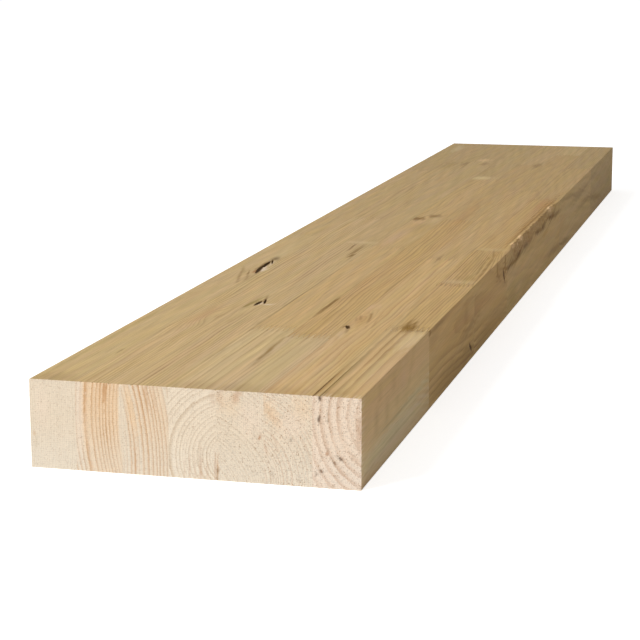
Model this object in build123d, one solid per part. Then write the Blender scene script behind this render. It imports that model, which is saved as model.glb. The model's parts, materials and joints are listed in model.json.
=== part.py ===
from build123d import *
import os

# A laminated timber plank: seven staves glued edge to edge, each stave made of
# shorter blocks that meet end to end in finger joints.
# The plank lies flat. X runs across it, Y along it from the front end to the
# back end, and Z up. The origin is the middle of its underside.

# Driving dimensions, in millimetres
plank_length = 1500.0
plank_thickness = 60.0
stave_width = 32.0
stave_count = 7
arris_ease = 0.6

# Finger joint profile, as the cutter leaves it
finger_length = 15.0
finger_pitch = 3.8
finger_tip_width = 0.4
finger_tip_gap = 0.5

# How far the middle of each joint lies from the front end
stave_1_front_joint = 635.0
stave_2_front_joint = 760.0
stave_3_front_joint = 595.0
stave_4_front_joint = 195.0
stave_4_middle_joint = 580.0
stave_5_front_joint = 175.0
stave_5_middle_joint = 765.0
stave_6_front_joint = 527.0
stave_7_front_joint = 216.0
stave_7_second_joint = 406.0
stave_7_third_joint = 579.0

# How far the middle of each joint lies from the back end
stave_1_back_joint = 320.0
stave_2_back_joint = 245.0
stave_3_back_joint = 210.0
stave_4_back_joint = 395.0
stave_5_back_joint = 235.0
stave_6_middle_joint = 490.0
stave_6_back_joint = 115.0
stave_7_fourth_joint = 555.0
stave_7_back_joint = 260.0

# Open knots in the top face, each a pocket pointed at both ends. The middle is
# measured from the front end and from the nearest glue line.
bark_pocket_stave = 1
bark_pocket_from_front = 463.0
bark_pocket_from_glue = 4.6
bark_pocket_length = 84.0
bark_pocket_width = 7.0
bark_pocket_depth = 5.0

split_knot_stave = 3
split_knot_from_front = 296.0
split_knot_from_glue = 9.4
split_knot_length = 36.0
split_knot_width = 6.4
split_knot_depth = 4.5

loose_knot_stave = 6
loose_knot_from_front = 214.0
loose_knot_from_glue = 2.4
loose_knot_length = 16.0
loose_knot_width = 4.4
loose_knot_depth = 4.5

knot_wall_taper = 18.0

# The torn arris along the right edge of the top face: a facet that slopes from
# the top face down to the side face and runs out at both ends
torn_from_front = 588.0
torn_length = 342.0
torn_run_out = 45.0
torn_drop = 13.0
torn_inset = 1.8

# How far the wood to be cut away reaches past the plank's faces
cut_overshoot = 1.0

plank_width = stave_count * stave_width
left_face = -plank_width / 2
right_face = plank_width / 2
front_end = -plank_length / 2
back_end = plank_length / 2

# The flank of a finger goes sideways by this much over the finger's length
flank_run = finger_pitch / 2 - finger_tip_width
trimmed_tip_width = finger_tip_width + 2 * finger_tip_gap * flank_run / finger_length

joints_by_stave = {
    1: (front_end + stave_1_front_joint, back_end - stave_1_back_joint),
    2: (front_end + stave_2_front_joint, back_end - stave_2_back_joint),
    3: (front_end + stave_3_front_joint, back_end - stave_3_back_joint),
    4: (
        front_end + stave_4_front_joint,
        front_end + stave_4_middle_joint,
        back_end - stave_4_back_joint,
    ),
    5: (
        front_end + stave_5_front_joint,
        front_end + stave_5_middle_joint,
        back_end - stave_5_back_joint,
    ),
    6: (
        front_end + stave_6_front_joint,
        back_end - stave_6_middle_joint,
        back_end - stave_6_back_joint,
    ),
    7: (
        front_end + stave_7_front_joint,
        front_end + stave_7_second_joint,
        front_end + stave_7_third_joint,
        back_end - stave_7_fourth_joint,
        back_end - stave_7_back_joint,
    ),
}


def stave_left(stave):
    """The left face of a stave, counted from 1 at the plank's left edge."""
    return left_face + (stave - 1) * stave_width


def point_on_line(a, b, x):
    """The point at x on the straight line from a to b."""
    share = (x - a[0]) / (b[0] - a[0])
    return (x, a[1] + share * (b[1] - a[1]))


def clip_to_stave(points, left, right):
    """The part of a line of points that lies between a stave's two faces."""
    kept = []
    for a, b in zip(points, points[1:]):
        if b[0] <= left or a[0] >= right:
            continue
        if not kept:
            kept.append(a if a[0] >= left else point_on_line(a, b, left))
        kept.append(b if b[0] <= right else point_on_line(a, b, right))
    return kept


def finger_line(stave, middle, block_is_in_front):
    """The fingers of one block at a joint, as points across the stave.

    The flanks of the two blocks are the same lines. Each block's own tips stop
    short of the other block's roots by the tip gap.
    """
    low = middle - finger_length / 2
    high = middle + finger_length / 2
    low_flat = high_flat = finger_tip_width
    if block_is_in_front:
        high -= finger_tip_gap
        high_flat = trimmed_tip_width
    else:
        low += finger_tip_gap
        low_flat = trimmed_tip_width

    left = stave_left(stave)
    right = left + stave_width
    whole_fingers = int(stave_width // finger_pitch)
    first_root = (left + right) / 2 - whole_fingers * finger_pitch / 2
    points = []
    for count in range(-1, whole_fingers + 2):
        root = first_root + count * finger_pitch
        tip = root + finger_pitch / 2
        points.append((root - low_flat / 2, low))
        points.append((root + low_flat / 2, low))
        points.append((tip - high_flat / 2, high))
        points.append((tip + high_flat / 2, high))
    return clip_to_stave(points, left, right)


def sawn_line(stave, place):
    """A square saw cut across a stave."""
    left = stave_left(stave)
    return [(left, place), (left + stave_width, place)]


def plank_envelope():
    """The whole plank as one bar, with its four long arrises eased."""
    bar = Pos(0, 0, plank_thickness / 2) * Box(
        plank_width, plank_length, plank_thickness
    )
    return fillet(bar.edges().filter_by(Axis.Y), arris_ease)


def knot_pocket(x, from_front, length, width, depth):
    """The space of an open knot: a pointed spindle that narrows downwards."""
    centre = Pos(x, front_end + from_front, plank_thickness)
    right_side = ThreePointArc((0, -length / 2), (width / 2, 0), (0, length / 2))
    left_side = ThreePointArc((0, length / 2), (-width / 2, 0), (0, -length / 2))
    mouth = make_face([right_side, left_side])
    return centre * extrude(mouth, -depth, taper=knot_wall_taper)


def bark_pocket():
    """The long pocket of ingrown bark, close to its stave's right glue line."""
    return knot_pocket(
        stave_left(bark_pocket_stave) + stave_width - bark_pocket_from_glue,
        bark_pocket_from_front,
        bark_pocket_length,
        bark_pocket_width,
        bark_pocket_depth,
    )


def split_knot():
    """The knot that has split open, nearer to its stave's left glue line."""
    return knot_pocket(
        stave_left(split_knot_stave) + split_knot_from_glue,
        split_knot_from_front,
        split_knot_length,
        split_knot_width,
        split_knot_depth,
    )


def loose_knot():
    """The small hole of a knot that fell out, beside its left glue line."""
    return knot_pocket(
        stave_left(loose_knot_stave) + loose_knot_from_glue,
        loose_knot_from_front,
        loose_knot_length,
        loose_knot_width,
        loose_knot_depth,
    )


def torn_arris():
    """The missing wood of the torn arris, as one wedge with pointed ends."""
    corner_x = right_face + cut_overshoot
    corner_z = plank_thickness + cut_overshoot
    slope = torn_inset / torn_drop

    def cross_section(distance, drop):
        facet_top = right_face - (drop + cut_overshoot) * slope
        facet_foot = plank_thickness - drop - cut_overshoot / slope
        place = Plane(
            origin=(0, front_end + distance, 0), x_dir=(1, 0, 0), z_dir=(0, -1, 0)
        )
        outline = Polyline(
            (corner_x, corner_z),
            (facet_top, corner_z),
            (corner_x, facet_foot),
            close=True,
        )
        return place * make_face(outline)

    torn_end = torn_from_front + torn_length
    sections = [
        cross_section(torn_from_front, 0),
        cross_section(torn_from_front + torn_run_out, torn_drop),
        cross_section(torn_end - torn_run_out, torn_drop),
        cross_section(torn_end, 0),
    ]
    return loft(sections, ruled=True)


def block(stave, front_line, back_line):
    """One block: its outline seen from above, as thick as the plank."""
    outline = Polyline(*front_line, *reversed(back_line), close=True)
    solid = extrude(make_face(outline), plank_thickness)
    if stave in (1, stave_count):
        solid = solid & envelope
    for missing_wood in cuts_by_stave.get(stave, ()):
        solid = solid - missing_wood
    return solid


envelope = plank_envelope()
cuts_by_stave = {
    bark_pocket_stave: [bark_pocket()],
    split_knot_stave: [split_knot()],
    loose_knot_stave: [loose_knot()],
    stave_count: [torn_arris()],
}
os.makedirs("parts", exist_ok=True)

for stave in range(1, stave_count + 1):
    joints = joints_by_stave.get(stave, ())
    front_lines = [sawn_line(stave, front_end)]
    front_lines += [finger_line(stave, joint, False) for joint in joints]
    back_lines = [finger_line(stave, joint, True) for joint in joints]
    back_lines += [sawn_line(stave, back_end)]
    for number, lines in enumerate(zip(front_lines, back_lines), start=1):
        name = f"stave_{stave}_block_{number}"
        solid = block(stave, *lines)
        solid.label = name
        export_step(solid, f"parts/{name}.step")
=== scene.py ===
import json
import math
from dataclasses import dataclass

import bpy
import numpy as np
from mathutils import Matrix, Vector


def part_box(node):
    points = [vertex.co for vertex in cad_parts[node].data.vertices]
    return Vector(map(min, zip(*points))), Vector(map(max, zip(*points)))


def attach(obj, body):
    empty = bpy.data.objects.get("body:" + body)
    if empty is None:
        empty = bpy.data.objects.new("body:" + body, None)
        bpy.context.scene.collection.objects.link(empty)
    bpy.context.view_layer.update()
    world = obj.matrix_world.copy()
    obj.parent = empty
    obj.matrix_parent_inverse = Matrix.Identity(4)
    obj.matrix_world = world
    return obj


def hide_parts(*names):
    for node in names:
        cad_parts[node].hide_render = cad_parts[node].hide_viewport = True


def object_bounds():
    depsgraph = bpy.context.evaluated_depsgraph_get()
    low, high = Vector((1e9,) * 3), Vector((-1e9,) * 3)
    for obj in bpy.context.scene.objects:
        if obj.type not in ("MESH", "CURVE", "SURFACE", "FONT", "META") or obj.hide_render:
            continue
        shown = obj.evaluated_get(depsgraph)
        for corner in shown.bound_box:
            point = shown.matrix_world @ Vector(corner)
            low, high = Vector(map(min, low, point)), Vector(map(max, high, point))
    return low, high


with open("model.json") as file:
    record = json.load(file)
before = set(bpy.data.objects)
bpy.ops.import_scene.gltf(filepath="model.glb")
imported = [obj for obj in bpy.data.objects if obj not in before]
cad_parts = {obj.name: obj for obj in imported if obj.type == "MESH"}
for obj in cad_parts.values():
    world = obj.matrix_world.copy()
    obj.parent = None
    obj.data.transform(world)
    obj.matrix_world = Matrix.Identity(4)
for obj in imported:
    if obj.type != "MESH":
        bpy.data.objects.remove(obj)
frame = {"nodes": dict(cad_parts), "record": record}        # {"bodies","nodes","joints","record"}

# The look of a laminated timber plank. Every block of the plank is rebuilt as a
# fine mesh with its fingers, checks, knots and torn arris, and carries the
# growth rings of its own tree as numbers on its vertices.
#
# Lengths are in millimetres in plank coordinates: x from the left edge, y from
# the front end and z from the underside. They become metres in the frame's own
# axes when a mesh is made.

cad_low, cad_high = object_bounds()

METRE = 1000.0
FRAME_CORNER = np.array(cad_low) * METRE
plank_size = (np.array(cad_high) - np.array(cad_low)) * METRE
PLANK_WIDTH, PLANK_LENGTH, PLANK_THICKNESS = np.round(plank_size, 3)
STAVES = 7
STAVE_WIDTH = PLANK_WIDTH / STAVES

# Finger joints, as the plank's blocks have them
FINGER_LENGTH = 15.0
FINGER_PITCH = 3.8
FINGER_TIP = 0.4
TIP_GAP = 0.5
WHOLE_FINGERS = STAVE_WIDTH // FINGER_PITCH
FIRST_ROOT = STAVE_WIDTH / 2 - WHOLE_FINGERS * FINGER_PITCH / 2
ARRIS_RADIUS = 0.6

# Mesh steps. The straight rows of a block keep clear of its fingers.
FLANK_STEPS = 2
JOINT_ROWS = 5
CLEAR_OF_FINGERS = 1.0
ROW_STEP = 5.0
FINE_ROW_STEP = 1.8
FRONT_ROWS = (0.4, 1.0, 2.0, 4.0)
LEVEL_STEP = 1.1
HOLE_COLUMN_STEP = 0.4
HOLE_ROW_STEP = 0.7
HOLE_ROWS = 24
HOLE_LEVEL_STEP = 0.6
SMALLEST_STEP = 0.22
SHARP_ANGLE = 35

# A point this near to one of the plank's faces lies on it
ON_FACE = 0.01

# Torn arris on the right edge of the top. It drops less towards its back end.
TORN_START = 588.0
TORN_END = 930.0
TORN_MARGIN = 15.0
TORN_RUN_OUT = 40.0
TORN_DROP = 15.0
TORN_DROP_AT_BACK = 10.0
TORN_INSET = 2.3
TORN_REACH = 9.0
TORN_SHOWS_WITHIN = 1.2
FIBRE_INSET = 0.45

# How much the glue shows along the staves, and in the finger joints, where it is
# fainter beyond NEAR_JOINTS
GLUE_ALONG_STAVE = 0.20
GLUE_IN_LAST_STAVE = 0.50
GLUE_IN_JOINT = 0.26
GLUE_IN_FAR_JOINT = 0.12
NEAR_JOINTS = 450.0

# The growth lines on the right side are weaker beyond here
SIDE_FADES = (400, 480)
SIDE_FADE = 0.6

# Rings that are added on each side of those with a known place
SPARE_RINGS = 60

# Camera: its place in the frame, its turns in degrees and its lens in millimetres
CAMERA_PLACE = Vector((374.53, -1852.32, 339.61)) / METRE
CAMERA_TURN = 14.706
CAMERA_DIP = 11.447
CAMERA_ROLL = -0.110
SENSOR_WIDTH = 36.0
FOCAL_LENGTH = 104.965

# Stage, in metres
FLOOR_SIZE = 24.0
FLOOR_GREY = (0.80, 0.80, 0.80, 1)
FLOOR_GLOW = 0.68
WHITE = (1, 1, 1, 1)
FILL_LIGHT = 0.43
LAMP_PLACE = (-1.9, -2.6, 2.4)
LAMP_AIM = (0, -0.3, 0)
LAMP_SIZE = 1.6
LAMP_WATTS = 107

# The roughness of each material slot's wood
GLOSS = {"pale_sapwood": 0.72, "honey_pine": 0.70, "red_heartwood": 0.68}


def srgb(red, green, blue):
    """A colour written as 0 to 255 display values, as linear light."""
    display = np.array((red, green, blue)) / 255
    return np.where(display <= 0.04045, display / 12.92, ((display + 0.055) / 1.055) ** 2.4)


# Colours of planed wood, and of the freshly sawn ends
WOOD = {
    "cream": srgb(204, 178, 135),
    "straw": srgb(199, 172, 127),
    "warm straw": srgb(195, 167, 122),
    "honey": srgb(199, 168, 120),
    "tan": srgb(194, 162, 112),
    "amber": srgb(178, 132, 74),
    "olive": srgb(150, 128, 74),
    "brown": srgb(112, 80, 45),
    "russet": srgb(178, 126, 86),
    "pink": srgb(206, 172, 140),
    "grey": srgb(92, 84, 74),
    "umber": srgb(84, 58, 34),
    "bark": srgb(110, 76, 30),
    "gold": srgb(132, 98, 36),
    "torn": srgb(126, 80, 40),
    "white": srgb(226, 208, 176),
    "butter": srgb(226, 204, 152),
    # Bright chips of the torn arris: paler torn wood, partly a painted highlight
    "chip": srgb(255, 216, 168),
    "pale chip": srgb(232, 212, 190),
    "side grey": srgb(212, 181, 137),
    "side warm": srgb(201, 166, 117),
    "pale green": srgb(212, 202, 164),
    "straw line": srgb(166, 136, 92),
    "brown line": srgb(142, 106, 64),
    "red line": srgb(160, 116, 76),
    "end cream": srgb(231, 215, 192),
    "end straw": srgb(226, 210, 187),
    "end pink": srgb(232, 212, 190),
    "end orange": srgb(231, 194, 150),
    "end pale": srgb(208, 188, 162),
    "end brown": srgb(192, 155, 124),
    "end rust": srgb(190, 140, 92),
}


@dataclass
class Tree:
    """The tree that a block was cut from."""

    # The pith runs past this x and z at the block's near end, and goes aside by
    # lean as it goes back
    pith: tuple
    spacing: float
    tone: str
    line: str
    strength: float
    lean: tuple = (0.0, 0.0)
    # How far the rings wander along the block, and how much they are drawn out in z
    wander: float = 1.0
    squash: float = 1.0
    end: str = "end cream"
    end_line: str = "end pale"
    end_strength: float = 0.5
    # Places where dark rings cross the end at lines_height, with their strengths
    lines: tuple = ()
    lines_height: float = 30.0
    # Spans of rings that are heartwood, with their strengths
    heart: tuple = ()
    shade: float = 1.0
    # How much the rings vary in width, and how coarse the sawn end is
    uneven: float = 1.0
    rough: float = 0.7


TREES = {
    (1, 1): Tree((-220, 35), 1.7, "straw", "straw line", 0.3, wander=1.6, end="end straw",
                 end_strength=0.3, rough=0.55),
    (1, 2): Tree((-70, 10), 3.2, "warm straw", "straw line", 0.3, lean=(-0.01, 0), wander=2.4),
    (1, 3): Tree((120, 0), 3, "warm straw", "straw line", 0.26, lean=(0.01, 0.01), wander=2, shade=0.94),
    (2, 1): Tree((260, 38), 2.9, "straw", "brown line", 0.52, wander=1.4, squash=1.1, shade=1.03,
                 end="end straw", end_line="end rust", end_strength=0.74, heart=((-0.5, 8.1, 0.6),),
                 rough=0.6, lines=((60, 0.5), (57.5, 0.8), (55, 0.8), (52.6, 1.3), (50.6, 0.8), (48.4, 1.1),
                                   (45.7, 0.8), (42.8, 0.9), (37.4, 1))),
    (2, 2): Tree((-30, -20), 3.4, "warm straw", "brown line", 0.36, lean=(-0.02, 0.02), wander=2),
    (2, 3): Tree((-30, 0), 3, "warm straw", "straw line", 0.28, wander=2, shade=0.94),
    (3, 1): Tree((-140, 5), 3.2, "straw", "brown line", 0.5, wander=1.2, rough=0.6, end="end straw",
                 end_line="end rust", end_strength=0.7, heart=((1.8, 3.6, 0.26), (4.6, 11.5, 0.28)),
                 lines=((64, 0.3), (66.5, 0.6), (69.5, 0.9), (72, 1.3), (75, 0.4), (78, 0.9), (81.5, 1.3),
                        (84.5, 0.9), (87, 0.8), (89, 1.1), (91.5, 0.9), (94, 0.8))),
    (3, 2): Tree((-30, 40), 2.7, "warm straw", "straw line", 0.32, wander=2.4, shade=0.98),
    (3, 3): Tree((160, 0), 3.2, "warm straw", "straw line", 0.26, wander=2, shade=0.94),
    (4, 1): Tree((140, 15), 2.8, "cream", "brown line", 0.45, wander=0.8, end_strength=0.75),
    (4, 2): Tree((40, -25), 3, "honey", "straw line", 0.4, wander=1.5),
    (4, 3): Tree((70, 105), 3.1, "honey", "straw line", 0.42, lean=(0.02, 0), wander=2, shade=0.98),
    (4, 4): Tree((170, -30), 3, "warm straw", "straw line", 0.26, wander=2, shade=0.95),
    (5, 1): Tree((100, -20), 1.8, "cream", "brown line", 0.4, wander=1.4, end="end straw", end_strength=0.6,
                 shade=0.95, rough=1),
    (5, 2): Tree((300, 20), 3, "tan", "brown line", 0.6, lean=(-0.01, 0), wander=1.4, shade=1.03),
    (5, 3): Tree((60, -20), 2.7, "honey", "straw line", 0.32, lean=(0.01, 0), wander=2, shade=0.91),
    (5, 4): Tree((60, 80), 3, "warm straw", "straw line", 0.26, wander=2, shade=0.99),
    (6, 1): Tree((138, 2), 2.3, "honey", "red line", 0.5, wander=1.2, end="end straw",
                 end_line="end brown", end_strength=0.4, shade=1.04, rough=1.3),
    (6, 2): Tree((60, 90), 2.8, "honey", "brown line", 0.42, lean=(0.02, 0), wander=2, shade=0.965),
    (6, 3): Tree((260, 10), 3, "honey", "straw line", 0.28, wander=2, shade=0.91),
    (6, 4): Tree((100, 10), 3, "straw", "straw line", 0.32, wander=2, shade=0.98),
    (7, 1): Tree((238, 48), 5.6, "honey", "brown line", 0.62, wander=0.7, squash=0.82, shade=1.03,
                 end="end pink", end_line="end brown", end_strength=0.62, lines_height=48, rough=1.2,
                 lines=((214, 0.45), (207, 0.95), (202, 1.05), (196.3, 0.95), (191.5, 0.7))),
    (7, 2): Tree((150, 45), 2.52, "tan", "brown line", 0.6, lean=(0, -0.02), wander=0.9, shade=1.04,
                 uneven=0.6),
    (7, 3): Tree((152, 42), 2.44, "tan", "brown line", 0.78, lean=(0, -0.02), wander=0.6, shade=1.01,
                 uneven=0.6),
    (7, 4): Tree((60, 70), 3.4, "tan", "brown line", 0.5, lean=(0.02, -0.01), wander=0.8),
    (7, 5): Tree((50, 60), 3.4, "honey", "straw line", 0.45, lean=(0, -0.01), wander=0.8, shade=0.9),
    (7, 6): Tree((40, 50), 3.6, "warm straw", "straw line", 0.45, wander=1, shade=0.89),
}

# Stains, streaks and pale patches on one face of a stave, or of one block; the
# bright chips in the torn arris are partly a painted highlight. Each line gives
# the colour, the middle, the half sizes, the slant and the strength.
# The middle is x and y on the top, y and z on the right side, and x and z on
# the front end.
MARKS = {}
MARKS["top", 1] = [
    ("olive", 5, 150, 1.6, 150, 0, 0.3),
    ("brown", 28, 93, 0.7, 9, 0, 0.4),
    ("bark", 24.6, 415, 0.7, 11, -0.22, 0.75),
    ("bark", 21.6, 398, 1.2, 26, -0.22, 0.5),
    ("bark", 25.2, 455, 1.5, 22, -0.06, 0.6),
    ("bark", 30, 392, 0.9, 12, -0.1, 0.35),
    ("olive", 15, 432, 1.6, 14, -0.3, 0.35),
    ("russet", 27, 426, 1.6, 8, 0, 0.6),
    ("umber", 26.6, 493, 3, 9, -0.05, 0.62),
    ("white", 26, 522, 4.5, 22, 0, 0.14),
    ("pale chip", 31, 440, 1.2, 12, -0.06, 0.8),
    ("pale chip", 30.6, 466, 0.8, 13, -0.1, 0.5),
    ("brown", 16, 6, 18, 14, 0, 0.22),
    ("white", 19, 1430, 5, 40, 0, 0.3),
]
MARKS["top", 2] = [
    ("russet", 44, 232, 7, 38, 0, 0.16),
    ("pale chip", 33, 434, 1.4, 8, 0, 0.65),
    ("olive", 42, 1235, 7, 35, 0, 0.3),
    ("brown", 62, 1255, 5, 22, 0, 0.3),
]
MARKS["top", 3] = [
    ("olive", 66.6, 287, 2.3, 20, 0.1, 0.8),
    ("olive", 65.8, 274, 2.2, 6, 0.1, 0.7),
    ("pale chip", 74, 287.5, 0.8, 4, 0, 0.6),
    ("pale chip", 80, 283, 3.4, 3, 0.5, 0.45),
    ("bark", 71.8, 308, 0.8, 8, -0.12, 0.65),
    ("bark", 78, 572, 1, 15, -0.04, 0.7),
    ("bark", 86.5, 553, 1.8, 28, 0, 0.55),
    ("bark", 89, 527, 1.8, 10, 0, 0.7),
    ("cream", 80, 602, 19, 7, 0, 0.8),
    ("chip", 78, 1302, 7, 14, 0, 0.3),
    ("brown", 85, 1262, 5, 14, 0, 0.3),
    ("brown", 95.4, 300, 0.8, 105, 0, 0.4),
]
MARKS["top", 4] = [
    ("bark", 127.4, 290, 0.8, 34, 0, 0.75),
    ("olive", 128, 130, 2, 40, -0.05, 0.34),
    ("gold", 128.3, 128, 1.1, 33, -0.05, 0.5),
    ("bark", 100, 767, 6.2, 10, 0, 0.75),
    ("bark", 114.5, 789, 6.2, 10, 0, 0.6),
    ("cream", 120, 762, 4, 24, -0.1, 0.45),
    ("olive", 117, 712, 9, 36, 0, 0.2),
    ("pink", 103, 640, 8, 40, 0, 0.35),
    ("pink", 108, 745, 9, 14, 0, 0.25),
    ("butter", 106, 1117, 11, 14, 0, 0.6),
    ("olive", 112, 1160, 11, 34, 0, 0.14),
    ("olive", 98, 1190, 4, 50, 0, 0.2),
    ("brown", 112, 5, 18, 14, 0, 0.2),
    ("cream", 124, 92, 3.6, 86, 0, 0.15),
]
MARKS["top", 5] = [
    ("olive", 128.6, 124, 2, 38, -0.05, 0.34),
    ("gold", 128.5, 122, 1.2, 32, -0.05, 0.54),
    ("bark", 128.6, 290, 0.8, 34, 0, 0.75),
    ("bark", 159.6, 214.5, 0.9, 4, 0, 0.85),
    ("brown", 152, 1262, 4, 22, 0, 0.35),
    ("russet", 143, 810, 6, 100, -0.03, 0.24),
    ("brown", 144, 5, 18, 14, 0, 0.2),
    ("cream", 156.5, 138, 4.8, 92, 0, 0.4),
]
MARKS["top", 6] = [
    ("brown", 165, 200, 1, 9, -0.2, 0.45),
    ("amber", 167, 243, 4.6, 22, -0.12, 0.28),
    ("bark", 170.6, 251, 0.8, 20, -0.13, 0.5),
    ("bark", 164, 248, 0.9, 9, -0.22, 0.48),
    ("bark", 161.8, 243, 0.7, 7, -0.22, 0.35),
    ("brown", 179, 232, 0.9, 26, -0.1, 0.24),
    ("white", 163, 188, 4, 10, 0, 0.14),
    ("pink", 168, 165, 5, 16, 0, 0.12),
    ("pink", 158, 290, 7, 12, 0.3, 0.5),
    ("brown", 169.5, 528, 1, 16, 0, 0.5),
    ("brown", 172, 5, 16, 14, 0, 0.18),
    ("white", 164, 88, 4.5, 66, 0, 0.13),
    ("white", 180, 70, 4, 40, 0, 0.12),
]
MARKS["top", 7] = [
    ("gold", 206.8, 221, 4.7, 14, -0.1, 0.85),
    ("cream", 208, 417, 15, 8, 0, 0.5),
    ("bark", 204, 238, 1.6, 14, -0.05, 0.55),
    ("bark", 209.2, 232, 0.7, 14, -0.05, 0.55),
    ("bark", 216, 211.5, 7, 1.6, 0, 0.45),
    ("bark", 192.9, 26, 0.9, 56, 0, 0.62),
    ("bark", 197.3, 70, 0.7, 100, 0, 0.62),
    ("bark", 219.8, 462, 0.8, 44, -0.03, 0.55),
    ("bark", 217.2, 520, 0.8, 28, -0.07, 0.5),
    ("bark", 213.6, 560, 0.9, 24, -0.14, 0.45),
    ("brown", 214.6, 486, 0.7, 40, -0.05, 0.5),
    ("olive", 210, 436, 6, 14, 0, 0.3),
    ("amber", 194.2, 45, 1.3, 50, 0, 0.45),
    ("olive", 198, 60, 1.4, 60, 0, 0.4),
    ("brown", 197, 190, 0.6, 110, 0, 0.35),
    ("amber", 216, 740, 3, 150, 0, 0.4),
    ("torn", 218.5, 830, 2.6, 110, 0, 0.45),
    ("torn", 217, 690, 1.2, 60, 0, 0.3),
    ("russet", 208, 890, 3, 60, 0, 0.3),
    ("amber", 214, 905, 5, 30, 0, 0.42),
    ("brown", 218, 770, 0.7, 150, 0, 0.45),
    ("brown", 213.5, 850, 0.7, 90, 0, 0.4),
    ("olive", 206, 505, 7, 44, 0, 0.25),
    ("cream", 206, 590, 13, 7, 0, 0.4),
    ("cream", 195.6, 162, 4, 120, 0, 0.4),
    ("brown", 204, 6, 11, 12, 0, 0.2),
    ("white", 212, 78, 3.6, 34, 0, 0.14),
    # Bright chips at the broken right edge: paler torn wood with a painted highlight
    ("chip", 221.5, 629, 1.6, 7, 0, 0.6),
    ("chip", 221.5, 675, 1.6, 9, 0, 0.75),
    ("chip", 221.8, 880, 1.8, 13, 0, 0.75),
]
MARKS["top", 7, 1] = [
    ("white", 216, 178, 7, 30, 0, 0.26),
    ("pink", 221, 100, 4, 60, 0, 0.3),
]
MARKS["right", 7] = [
    ("grey", 15, 45, 10, 12, 0, 0.14),
    ("brown", 14, 34, 18, 30, 0, 0.16),
    ("cream", 130, 5.5, 90, 5, 0, 0.26),
    ("olive", 85, 38, 16, 5, -1.5, 0.22),
    ("olive", 130, 30, 12, 16, -0.6, 0.14),
    ("pink", 195, 10, 22, 7, 0, 0.18),
    ("bark", 215, 57.5, 5, 2.6, 0, 0.8),
    ("bark", 240, 57.5, 26, 1.8, 0, 0.5),
    ("brown", 232, 50, 16, 5, 0, 0.25),
    ("brown", 380, 29, 34, 3, -0.3, 0.45),
    ("brown", 366, 41, 8, 10, 0, 0.25),
    ("olive", 428, 33, 8, 2, 0, 0.35),
    ("bark", 520, 53, 3, 6, 0, 0.6),
    ("bark", 528, 46, 4, 4, -2, 0.6),
    ("brown", 530, 52, 14, 7, -0.5, 0.3),
    ("brown", 556, 44, 12, 8, -0.6, 0.3),
    ("bark", 564, 53, 2.6, 8, 0, 0.75),
    # Dark lines along the lower ledge of the torn arris, in the bark colour
    ("bark", 578, 45.5, 14, 2.2, -2, 0.65),
    ("bark", 612, 45, 22, 2.2, 0, 0.7),
    ("bark", 644, 46.2, 22, 2.6, 3, 0.7),
    ("brown", 705, 48.5, 34, 3.6, 0, 0.3),
    ("bark", 596, 50, 3, 5, 2, 0.45),
    ("brown", 600, 50, 34, 8, 0, 0.3),
    # Bright chips in the torn arris: paler torn wood with a painted highlight
    ("chip", 625, 58.5, 8, 1.8, 0, 0.95),
    ("chip", 673, 58.4, 10, 2.1, 0, 1),
    ("chip", 648, 56.5, 4, 1.2, 0, 0.5),
    ("chip", 730, 59, 8, 1, 0, 0.5),
    ("chip", 766, 58.5, 5, 0.9, 0, 0.4),
    ("chip", 880, 58.2, 14, 2.4, 0, 1),
    # Dark lines along the lower ledge of the torn arris, in the bark colour
    ("bark", 872, 51, 16, 2.6, -4, 0.55),
    ("bark", 798, 48.5, 26, 2.4, -7, 0.65),
    ("bark", 908, 49, 36, 2.8, -5, 0.65),
    ("olive", 610, 15, 26, 10, 0, 0.3),
    ("olive", 690, 13, 30, 6, 0, 0.25),
    ("amber", 830, 40, 22, 2.5, 0, 0.4),
    ("brown", 905, 11, 45, 4, -6, 0.4),
    ("brown", 990, 7, 26, 3, -6, 0.45),
    ("amber", 960, 30, 30, 12, 0, 0.18),
    ("bark", 490, 9, 80, 9, 0, 0.18),
    ("brown", 1010, 54, 34, 6, -13, 0.34),
    ("brown", 1110, 44.5, 60, 5, 0, 0.34),
    ("brown", 1200, 46, 30, 5, 16, 0.25),
    ("brown", 1170, 28, 70, 4, 0, 0.3),
    ("brown", 1280, 19, 30, 9, -7.4, 0.34),
    ("olive", 1460, 25, 30, 14, 0, 0.22),
]
MARKS["right", 7, 1] = [
    ("side grey", 105, 26, 150, 34, 0, 0.8),
    ("side warm", 105, 52, 150, 12, 0, 0.7),
    ("pale green", 90, 13, 90, 8, 0, 0.5),
    ("pale green", 160, 24, 40, 3, 8, 0.35),
    ("pink", 120, 8, 70, 2, 0, 0.45),
    ("brown", 110, 12, 60, 1.2, 0, 0.3),
    ("brown", 120, 24, 60, 0.9, 12, 0.3),
    ("brown", 45, 40, 5, 16, 0.5, 0.2),
    ("brown", 98, 44, 4, 15, -0.6, 0.14),
    ("olive", 150, 46, 5, 14, 0.8, 0.14),
    ("brown", 72, 30, 4, 14, 0.4, 0.14),
    ("pink", 125, 46, 8, 12, 0, 0.2),
    ("white", 105, 8, 118, 14, 0, 0.2),
]
MARKS["right", 7, 2] = [
    ("amber", 310, 25, 110, 34, 0, 0.2),
    ("bark", 318, 7, 84, 8, 0, 0.25),
    ("bark", 378, 9, 30, 9, 0, 0.18),
    ("amber", 325, 47, 74, 14, 0, 0.2),
    ("side warm", 232, 34, 28, 30, 0, 0.2),
]
MARKS["right", 7, 3] = [
    ("amber", 490, 25, 100, 36, 0, 0.24),
    ("amber", 500, 48, 90, 14, 0, 0.14),
    ("bark", 455, 6, 40, 7, 0, 0.12),
]
MARKS["right", 7, 4] = [("brown", 800, 57, 130, 20, 0, 0.1)]
MARKS["right", 7, 6] = [("brown", 1380, 20, 160, 50, 0, 0.16)]
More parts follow.
